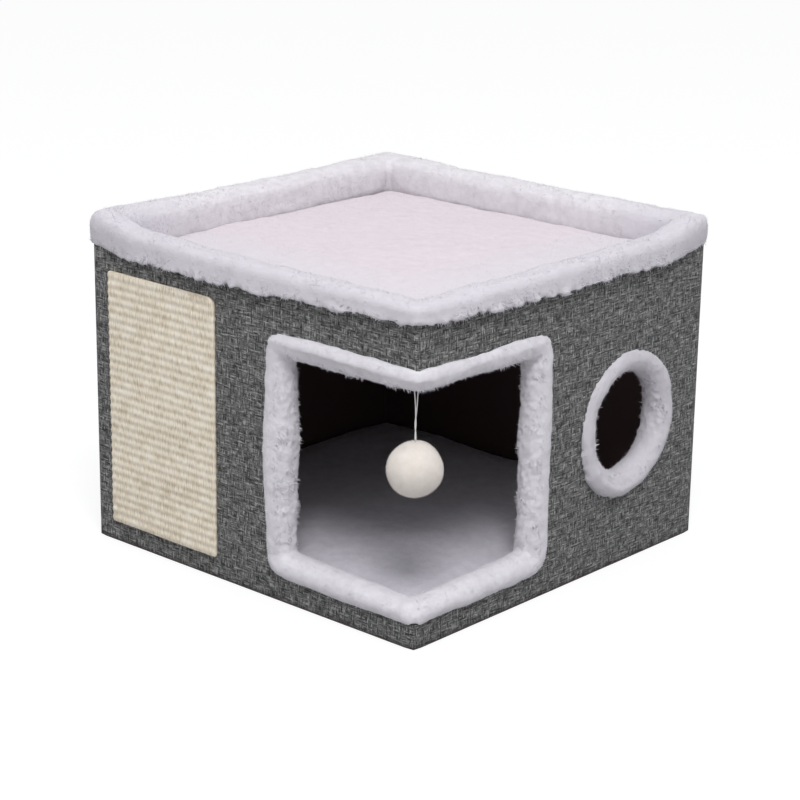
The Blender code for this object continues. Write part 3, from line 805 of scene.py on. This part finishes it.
def box_faces(columns, rows):
    """Faces that join two grids of points, one behind the other, into a closed slab."""
    row = columns + 1
    layer = row * (rows + 1)
    faces = []
    for j in range(rows):
        for i in range(columns):
            a = j * row + i
            faces.append((a, a + row, a + row + 1, a + 1))
            faces.append((layer + a, layer + a + 1, layer + a + row + 1, layer + a + row))
    ring = list(range(row))
    ring += [j * row + columns for j in range(1, rows + 1)]
    ring += [rows * row + i for i in range(columns - 1, -1, -1)]
    ring += [j * row for j in range(rows - 1, 0, -1)]
    for n, a in enumerate(ring):
        b = ring[(n + 1) % len(ring)]
        faces.append((a, b, layer + b, layer + a))
    return faces


def make_cushion(name, cad_name, body, wool, cushion, seed):
    """A plush cushion, blown up inside its own sides."""
    half, edge, crown, draw_in, cell, stuffing, room = cushion
    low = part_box(cad_name)[0][2]
    cover = even_mesh(cushion_block(name, half, low, edge, crown, draw_in), cell)
    puff(cover, stuffing)
    lumps(cover, 0.070, 0.0025, seed)
    finer(cover)
    lumps(cover, 0.014, 0.0008, seed + 1)
    points = points_of(cover)
    points[:, :2] = np.clip(points[:, :2], -room, room)
    points[:, 2] = np.maximum(points[:, 2], low)
    set_points(cover, points)
    cloth, pile = wool
    wear(cover, cloth)
    belongs(cover, body, "plush", cad_name)
    set_weight(cover, np.clip((normals_of(cover)[:, 2] - 0.35) * 3, 0, 1))
    strands = grow_pile(name + "_pile", cover, pile, CUSHION_PILE, seed + 3)
    belongs(strands, body, "plush")


def finish_roll(roll, cad_name, wool, hidden, seed):
    """A roll's cloth and pile, ragged toward the opening's middle except on upward faces."""
    gaps = np.array([opening_gap(point) for point in points_of(roll)])
    facing_up = normals_of(roll)[:, 2]
    ragged = rise(gaps, -0.003, -0.008) * (facing_up < 0.4)
    lumps(roll, 0.0055, 0.0003 + 0.0009 * ragged, seed)
    cloth, pile = wool
    wear(roll, cloth)
    belongs(roll, "cave", "plush", cad_name)
    set_weight(roll, ~hidden)
    belongs(grow_pile(roll.name + "_pile", roll, pile, SHORT_PILE, seed + 1), "cave", "plush")
    grow_strays(roll.name, roll, pile, ~hidden, (gaps < -0.004) & (facing_up < 0.2), seed + 2)


def over_entrance_front(x, y):
    """How much further up the roll reaches along the front wall."""
    return 0.0032 * near(x, 0.125, 0.055) * (y < -HALF + WALL)


def in_wall(outward):
    """Whether a place this far out from the cave's middle is within the wall's own thickness."""
    return (outward > HALF - WALL - HAIR) & (outward < HALF + 0.0008)


def make_entrance_roll(wool):
    """The stuffed roll round the entrance, fuller half way up its left post."""
    roll = even_mesh(solid_copy("entrance_roll", "entrance_trim"), ENTRANCE_CELL)
    puff(roll, 0.0015)
    x, y, z = points_of(roll).T
    left_post = 0.0022 * near(z, 0.150, 0.050) * (x < 0.07)
    from_corner = np.hypot(HALF - x, HALF + y)
    lip = 0.0010 + 0.0012 * near(from_corner, 0, 0.020) + over_entrance_front(x, y)
    lip *= (np.maximum(x, -y) > HALF - 0.002) * (z > ENTRANCE_HIGH)
    swell(roll, left_post + lip)
    lumps(roll, 0.035, 0.0013, 11)
    finer(roll)
    lumps(roll, 0.011, 0.0007, 12)

    x, y, z = points_of(roll).T
    left_of = x < HALF - ENTRANCE_REACH - ROLL_GRIP
    behind = y > -HALF + ENTRANCE_REACH + ROLL_GRIP
    past_ends = (z > ENTRANCE_HIGH + ROLL_GRIP) | (z < ENTRANCE_LOW - ROLL_GRIP)
    hidden = (in_wall(-y) & (left_of | past_ends)) | (in_wall(x) & (behind | past_ends))
    finish_roll(roll, "entrance_trim", wool, hidden, 13)


def make_window_roll(wool):
    """The stuffed roll round the window, fuller at its lower left."""
    roll = even_mesh(solid_copy("window_roll", "window_trim"), WINDOW_CELL)
    puff(roll, 0.0015)
    x, y, z = points_of(roll).T
    from_middle = np.hypot(y - WINDOW_Y, z - WINDOW_Z)
    turn = np.arctan2(z - WINDOW_Z, y - WINDOW_Y)
    bulge = 0.0048 * near(turn, math.radians(-125), 0.6)
    swell(roll, bulge * (from_middle > WINDOW_RING / 2) * (x > HALF - 0.002))
    lumps(roll, 0.030, 0.0017, 21)
    finer(roll)
    lumps(roll, 0.011, 0.0007, 22)

    x, y, z = points_of(roll).T
    from_middle = np.hypot(y - WINDOW_Y, z - WINDOW_Z)
    hidden = in_wall(x) & (from_middle > WINDOW_RING / 2 + ROLL_GRIP)
    finish_roll(roll, "window_trim", wool, hidden, 23)


def wall_point(around, depth, z):
    """A point on the band round the walls; around runs from 0 to 4, one wall each."""
    wall = int(around) % 4
    share = around - int(around)
    radius = max(0.0005, CORNER_RADIUS - depth)
    flat = HALF - depth
    straight = flat - radius
    along = (2 * share - 1) * (straight + radius * math.pi / 4)
    if abs(along) <= straight:
        x, y = along, -flat
    else:
        angle = (abs(along) - straight) / radius
        x = math.copysign(straight + radius * math.sin(angle), along)
        y = -straight - radius * math.cos(angle)
    for _ in range(wall):
        x, y = -y, x
    return Vector((x, y, z))


def opening_gap(point):
    """Distance along the wall to the nearest opening; less than zero inside it."""
    x, y, z = point
    gap = HALF
    from_corner = None
    if y < -HALF + NEAR_WALL:
        from_corner = HALF - x
    elif x > HALF - NEAR_WALL:
        from_corner = y + HALF
    if from_corner is not None:
        middle = (ENTRANCE_LOW + ENTRANCE_HIGH) / 2
        half_height = (ENTRANCE_HIGH - ENTRANCE_LOW) / 2
        aside = from_corner - ENTRANCE_REACH + OPENING_CORNER
        above = abs(z - middle) - half_height + OPENING_CORNER
        gap = math.hypot(max(aside, 0), max(above, 0)) + min(max(aside, above), 0) - OPENING_CORNER
    if x > HALF - NEAR_WALL:
        gap = min(gap, math.hypot(y - WINDOW_Y, z - WINDOW_Z) - WINDOW_RING / 2)
    return gap


def hidden_by_roll(point):
    """How far the roll covers the wall beside the opening: more on the cave's upright corner."""
    from_corner = math.hypot(HALF - point.x, HALF + point.y)
    covered = HIDDEN_BY_ROLL + 0.0045 * near(from_corner, 0, 0.016)
    if point.z > ENTRANCE_HIGH - OPENING_CORNER:
        covered += over_entrance_front(point.x, point.y)
    return covered


def to_opening_edge(around, z, depth):
    """Moves a spot on the walls onto the line just outside the nearest opening."""
    step = 0.001
    per_turn = 2 * HALF
    for _ in range(3):
        point = wall_point(around, depth, z)
        gap = opening_gap(point) - hidden_by_roll(point) + HIDDEN_BY_ROLL
        beside = wall_point(around + step / per_turn, depth, z)
        above = wall_point(around, depth, z + step)
        slope_around = (opening_gap(beside) - opening_gap(point)) / step
        slope_up = (opening_gap(above) - opening_gap(point)) / step
        steepness = max(slope_around**2 + slope_up**2, 0.25)
        around += (HIDDEN_BY_ROLL - gap) * slope_around / steepness / per_turn
        z += (HIDDEN_BY_ROLL - gap) * slope_up / steepness
    return around, z


def closed_cells(gaps, columns, rows):
    """The band's cells that aren't in an opening, and the corners of those that are."""
    kept, cut = [], set()
    for j in range(rows):
        for i in range(columns):
            k = (i + 1) % columns
            row, above = j * columns, (j + 1) * columns
            corners = (row + i, row + k, above + k, above + i)
            if sum(gaps[c] for c in corners) > 0:
                kept.append(corners)
            else:
                cut.update(corners)
    return kept, cut


def waved(around, z, depth, wave):
    """A point of the cloth, moved out by slow waves that fade at the corners and the hem."""
    point = wall_point(around, depth, z)
    fade = min(1, (0.5 - abs(around % 1 - 0.5)) * 14) * min(1, z / 0.02)
    fullness = 0.5 + 0.5 * noise.noise(Vector((point.x, point.y, point.z * 0.6)) * 14)
    turn = (around // 1) * math.pi / 2
    outward = Vector((math.sin(turn), -math.cos(turn), 0))
    return point + outward * wave * fade * fullness


def make_wall_cloth(name, cad_name, slot, depth, material, wave):
    """A cloth band round the walls, open at the entrance and the window."""
    columns, rows = 4 * 104, 76
    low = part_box(cad_name)[0][2]
    heights = [low + (WALL_TOP - low) * j / rows for j in range(rows + 1)]
    spots = [(4 * i / columns, z) for z in heights for i in range(columns)]
    walls = [wall_point(around, depth, z) for around, z in spots]
    gaps = [opening_gap(point) - hidden_by_roll(point) for point in walls]
    kept, cut = closed_cells(gaps, columns, rows)
    used = sorted({c for face in kept for c in face})
    order = {c: n for n, c in enumerate(used)}
    placed = [to_opening_edge(*spots[c], depth) if c in cut else spots[c] for c in used]
    points = [waved(around, z, depth, wave) for around, z in placed]
    obj = add_mesh(name, points, [tuple(order[c] for c in face) for face in kept])
    solid = obj.modifiers.new("Thickness", "SOLIDIFY")
    solid.thickness = CLOTH_THICKNESS
    solid.offset = -1
    settle(obj)
    wear(obj, material)
    belongs(obj, "cave", slot, cad_name)


def make_cloth_plate(name, cad_name, body, material):
    """A flat cloth with a rounded outline and a slight ripple inside its own thickness."""
    low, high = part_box(cad_name)
    half = high[0]
    cells = 40
    thick = high[2] - low[2]
    points = []
    for level in (low[2], high[2]):
        for j in range(cells + 1):
            for i in range(cells + 1):
                x, y = half * (2 * i / cells - 1), half * (2 * j / cells - 1)
                past_x = max(abs(x) - half + CORNER_RADIUS, 0)
                past_y = max(abs(y) - half + CORNER_RADIUS, 0)
                pull = max(0, math.hypot(past_x, past_y) - CORNER_RADIUS)
                x -= math.copysign(pull * 0.7, x)
                y -= math.copysign(pull * 0.7, y)
                ripple = 0.2 * thick * noise.noise(Vector((x, y, level)) * 25)
                z = level + abs(ripple) if level == low[2] else level - abs(ripple)
                points.append((x, y, z))
    obj = add_mesh(name, points, box_faces(cells, cells))
    wear(obj, material)
    belongs(obj, body, "lining", cad_name)


def make_sisal(material):
    """The scratching panel: ribs of yarn, crossed by upright stitches, with scalloped sides."""
    back = -HALF - SISAL_SEAT
    per_rib, columns = 8, 146
    rows = SISAL_RIBS * per_rib
    height = SISAL_TOP - SISAL_BASE

    def corner_inset(from_end, radius):
        return radius - math.sqrt(radius**2 - max(0, radius - from_end) ** 2)

    front, rear = [], []
    for j in range(rows + 1):
        z = SISAL_BASE + height * j / rows
        from_base, from_top = z - SISAL_BASE, max(0, SISAL_TOP - z)
        rib = math.sin(math.pi * j / per_rib) ** 2
        left = SISAL_LEFT + 0.0008 * (1 - rib)
        left += corner_inset(min(from_base, from_top), SISAL_SQUARE_CORNER)
        right = SISAL_RIGHT - 0.0004 * (1 - rib)
        right -= corner_inset(from_base, SISAL_SQUARE_CORNER)
        right -= corner_inset(from_top, SISAL_ROUND_CORNER)
        for i in range(columns + 1):
            x = left + (right - left) * i / columns
            stitch = 0.0003 * math.cos(math.pi * i)
            stitch += 0.0005 * noise.noise(Vector((x * 600, 0, z * 110)))
            slump = 0.0005 * noise.noise(Vector((x * 18, 3, z * 25)))
            edge = 0.35 + 0.65 * min(1, min(i, columns - i) / 2)
            out = SISAL_BODY + (SISAL_RIB_HEIGHT * rib + stitch + slump) * edge
            wander = 0.0006 * noise.noise(Vector((x * 22, 9, j // per_rib)))
            front.append((x, back - out, z + (wander if 0 < j < rows else 0)))
            rear.append((x, back, z))
    obj = add_mesh("sisal_rug", front + rear, box_faces(columns, rows))
    wear(obj, material)
    belongs(obj, "cave", "sisal", "sisal_panel")


def string_path():
    """The string's middle line, as it hangs from the knot to the pompom."""
    count = 21
    path = []
    for i in range(count + 1):
        t = i / count
        aside = 0.0002 * math.sin(2 * math.pi * t) * math.sin(math.pi * t)
        drop = STRING_TOP + (STRING_END - STRING_TOP) * t
        path.append(TOY_PIVOT + Vector((aside, aside, -drop)))
    return path


def make_string(material):
    """Two thin strands that spread at the knot and run together lower down."""
    path = string_path()
    points, faces = [], []
    sides = 8
    radius = STRING_THICKNESS * 0.29
    apart_way = Vector((math.sqrt(0.5), math.sqrt(0.5), 0))
    other_way = Vector((-apart_way.y, apart_way.x, 0))
    for strand in (-1, 1):
        start = len(points)
        for i, middle in enumerate(path):
            t = i / (len(path) - 1)
            apart = radius * 0.7 + 0.0013 * max(0, 1 - t / 0.45) ** 1.2
            turn = 4 * math.pi * max(0, t - 0.42)
            across = apart_way * math.cos(turn) + other_way * math.sin(turn)
            centre = middle + across * apart * strand
            for k in range(sides):
                angle = 2 * math.pi * k / sides
                points.append(centre + Vector((math.cos(angle), math.sin(angle), 0)) * radius)
        for i in range(len(path) - 1):
            for k in range(sides):
                m = (k + 1) % sides
                a = start + i * sides
                faces.append((a + k, a + m, a + sides + m, a + sides + k))
        faces.append(tuple(start + k for k in range(sides))[::-1])
        faces.append(tuple(start + (len(path) - 1) * sides + k for k in range(sides)))
    string = add_mesh("cotton_string", points, faces)
    wear(string, material)
    belongs(string, "toy", "string", "toy_string")


def make_pompom(wool):
    """A dense, smoothly clipped ball of short yarn ends."""
    bm = bmesh.new()
    centre = TOY_PIVOT - Vector((0, 0, POMPOM_DROP))
    core = POMPOM_RADIUS - 0.0011
    bmesh.ops.create_icosphere(bm, subdivisions=5, radius=core, matrix=Matrix.Translation(centre))
    ball = show_bmesh("pompom_ball", bm)
    lumps(ball, 0.020, 0.0008, 31)
    cloth, pile = wool
    wear(ball, cloth)
    belongs(ball, "toy", "pompom", "pompom")
    set_weight(ball, np.ones(len(ball.data.vertices)))
    belongs(grow_pile("pompom_yarn", ball, pile, YARN_ENDS, 33), "toy", "pompom")


def repaint(material, *names):
    """Gives these CAD nodes a better material."""
    for name in names:
        slots = nodes[name].material_slots
        if not slots:
            nodes[name].data.materials.append(material)
        for slot in slots:
            slot.material = material


def main():
    camera_from_photo()
    string = string_finish()
    make_string(string)
    studio()

    # The rims' plush carries painted shade, darker near the front and right walls
    plush = make_wool("pale_plush", "plush_strands", WHITE, SIDE_SHADE_AND_EDGE_TONE)
    # The entrance roll wears the lighter copy of the white plush, which is painted light
    lit_roll_plush = make_wool("lit_roll_plush", "lit_roll_strands", LIT_WHITE)
    bed_plush = make_wool("rosy_plush", "rosy_strands", ROSY, SIDE_SHADE_AND_EDGE_TONE)
    mat_plush = make_wool("grey_plush", "grey_strands", GREY)
    yarn = make_wool("cream_yarn", "cream_strands", CREAM)
    lining = lining_finish()
    make_rims(plush)
    make_cushion("bed_cushion", "bed_cover", "top_bed", bed_plush, BED, 41)
    make_cushion("floor_mat_cushion", "mat_cover", "floor_mat", mat_plush, MAT, 51)
    make_entrance_roll(lit_roll_plush)
    make_window_roll(plush)
    make_wall_cloth("linen_shell", "linen_cover", "linen", 0, linen_finish(), 0.0008)
    inner = WALL - CLOTH_THICKNESS
    make_wall_cloth("inner_lining", "wall_lining", "lining", inner, lining, 0)
    make_sisal(sisal_finish())
    make_cloth_plate("base_sheet", "base_cloth", "cave", lining)
    make_cloth_plate("bed_ceiling", "ceiling_cloth", "top_bed", lining)
    make_cloth_plate("mat_backing", "mat_underside", "floor_mat", lining)
    make_pompom(yarn)

    board = fibreboard_finish()
    repaint(board, "base_board", "bed_board", *(wall + "_wall_board" for wall in WALL_NAMES))
    repaint(foam_finish(), "bed_foam", "mat_foam", *(wall + "_wall_foam" for wall in WALL_NAMES))
    repaint(lining, *(wall + "_ledge" for wall in WALL_NAMES))
    repaint(string, "toy_knot")


main()
